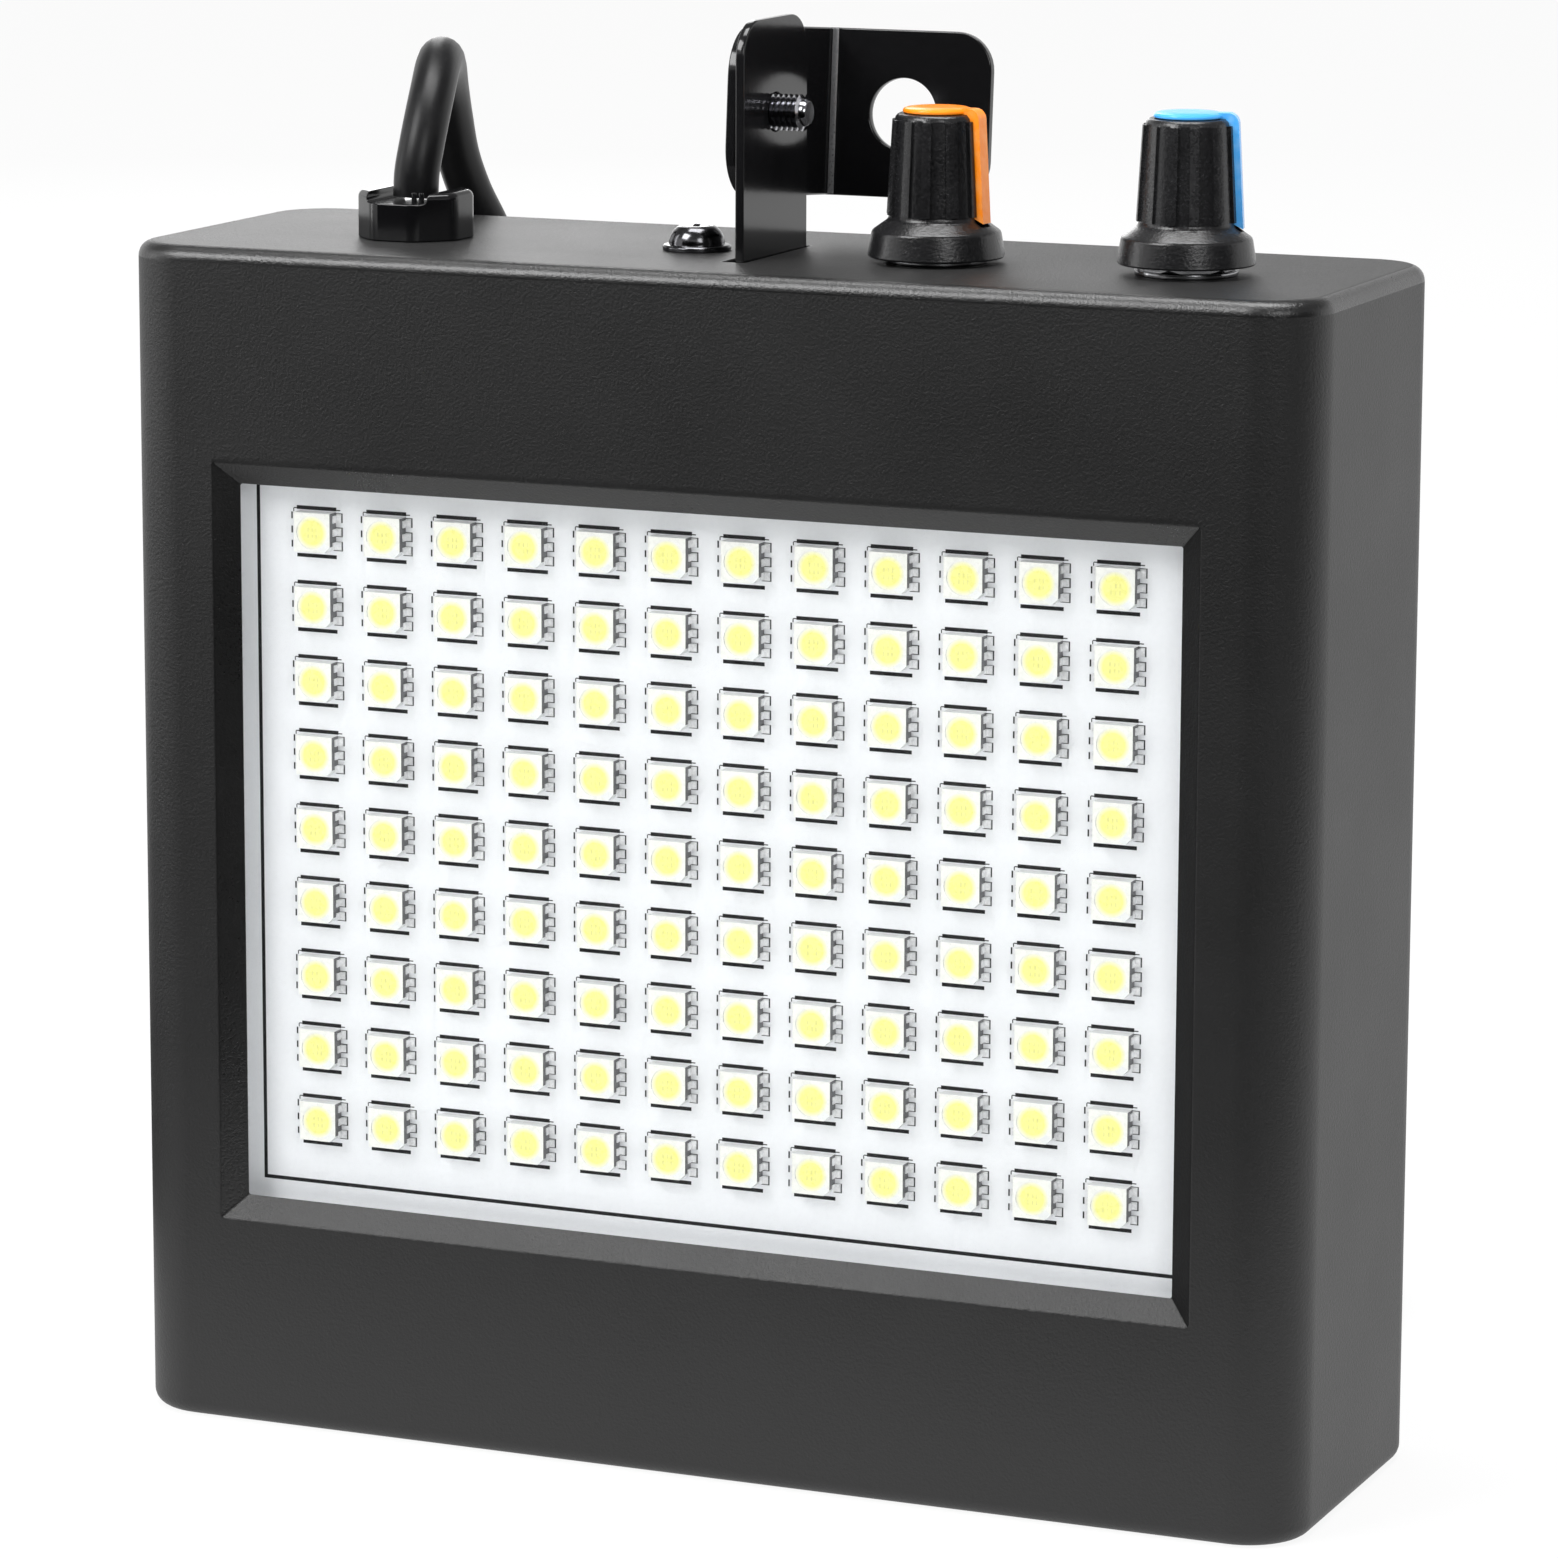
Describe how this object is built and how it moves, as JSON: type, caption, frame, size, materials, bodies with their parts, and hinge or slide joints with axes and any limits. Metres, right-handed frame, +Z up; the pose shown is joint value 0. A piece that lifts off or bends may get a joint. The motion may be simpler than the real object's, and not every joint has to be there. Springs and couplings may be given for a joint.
{
  "type": "strobe light",
  "caption": "Small box-shaped strobe light with a window of light-emitting diodes, a swivel bracket, speed and sound knobs and a mains lead.",
  "frame": {"origin": "middle of the underside of the housing, on the surface that it stands on", "axes": "+X to the right as seen from the front, +Y from the window towards the rear cover, +Z up"},
  "size_m": [0.14, 0.1278, 0.1604],
  "materials": {
    "housing_plastic": "fine moulded grain",
    "clear_sheet": "clear",
    "foam": "matt",
    "diode_board": "white solder mask with black print",
    "diode": "white package with a yellow phosphor disc",
    "green_board": "solder mask",
    "black_paint": "gloss",
    "black_screw": "blackened",
    "zinc_steel": "zinc plated",
    "bare_aluminium": "satin",
    "chip_plastic": "satin",
    "sleeve": "shrunk sleeve",
    "terminal_plastic": "satin",
    "ribbon": "satin",
    "knob_plastic": "satin, faintly speckled",
    "orange_cap": "gloss",
    "blue_cap": "gloss",
    "gland_plastic": "gloss",
    "cord_jacket": "satin",
    "plug_plastic": "satin",
    "blade_brass": "bright"
  },
  "bodies": {
    "housing": {"front_shell": "housing_plastic", "rear_cover": "housing_plastic", "cover_screw_1": "black_screw", "cover_screw_2": "black_screw", "cover_screw_3": "black_screw", "cover_screw_4": "black_screw", "clear_window": "clear_sheet", "window_frame": "foam", "led_board": "diode_board", "led_column_01": "diode", "led_column_02": "diode", "led_column_03": "diode", "led_column_04": "diode", "led_column_05": "diode", "led_column_06": "diode", "led_column_07": "diode", "led_column_08": "diode", "led_column_09": "diode", "led_column_10": "diode", "led_column_11": "diode", "led_column_12": "diode", "led_board_screw_1": "zinc_steel", "led_board_screw_2": "zinc_steel", "led_board_screw_3": "zinc_steel", "led_board_screw_4": "zinc_steel", "driver_board": "green_board", "driver_board_screw_1": "zinc_steel", "driver_board_screw_2": "zinc_steel", "bulk_capacitor": "sleeve", "bridge_rectifier": "chip_plastic", "timer_chip": "chip_plastic", "mains_terminal": "terminal_plastic", "heat_sink": "bare_aluminium", "switching_transistor": "chip_plastic", "microphone": "bare_aluminium", "led_cable": "ribbon", "mains_tail": "cord_jacket", "cord_gland": "gland_plastic", "mounting_ear": "black_paint", "ear_screw": "black_screw", "pivot_screw": "black_screw", "speed_pot_body": "zinc_steel", "speed_pot_washer": "zinc_steel", "speed_pot_nut": "zinc_steel", "sound_pot_body": "zinc_steel", "sound_pot_washer": "zinc_steel", "sound_pot_nut": "zinc_steel", "cord": "cord_jacket", "cord_coil": "cord_jacket", "cord_tie": "cord_jacket", "plug_body": "plug_plastic", "plug_blade_1": "blade_brass", "plug_blade_2": "blade_brass"},
    "swivel_bracket": {"swivel_bracket": "black_paint"},
    "speed_knob": {"speed_pot_shaft": "bare_aluminium", "speed_knob": "knob_plastic", "speed_knob_cap": "orange_cap"},
    "sound_knob": {"sound_pot_shaft": "bare_aluminium", "sound_knob": "knob_plastic", "sound_knob_cap": "blue_cap"}
  },
  "joints": [
    {"name": "bracket_tilt", "type": "hinge", "parent": "housing", "child": "swivel_bracket", "pos_m": [0, -0.0021, 0.1501], "axis": [1, 0, 0], "range_deg": [-12.5, 202]},
    {"name": "speed_turn", "type": "hinge", "parent": "housing", "child": "speed_knob", "pos_m": [0.0202, -0.0021, 0.138], "axis": [0, 0, 1], "range_deg": [-52, 248]},
    {"name": "sound_turn", "type": "hinge", "parent": "housing", "child": "sound_knob", "pos_m": [0.049, -0.0021, 0.138], "axis": [0, 0, 1], "range_deg": [-69, 231]}
  ]
}
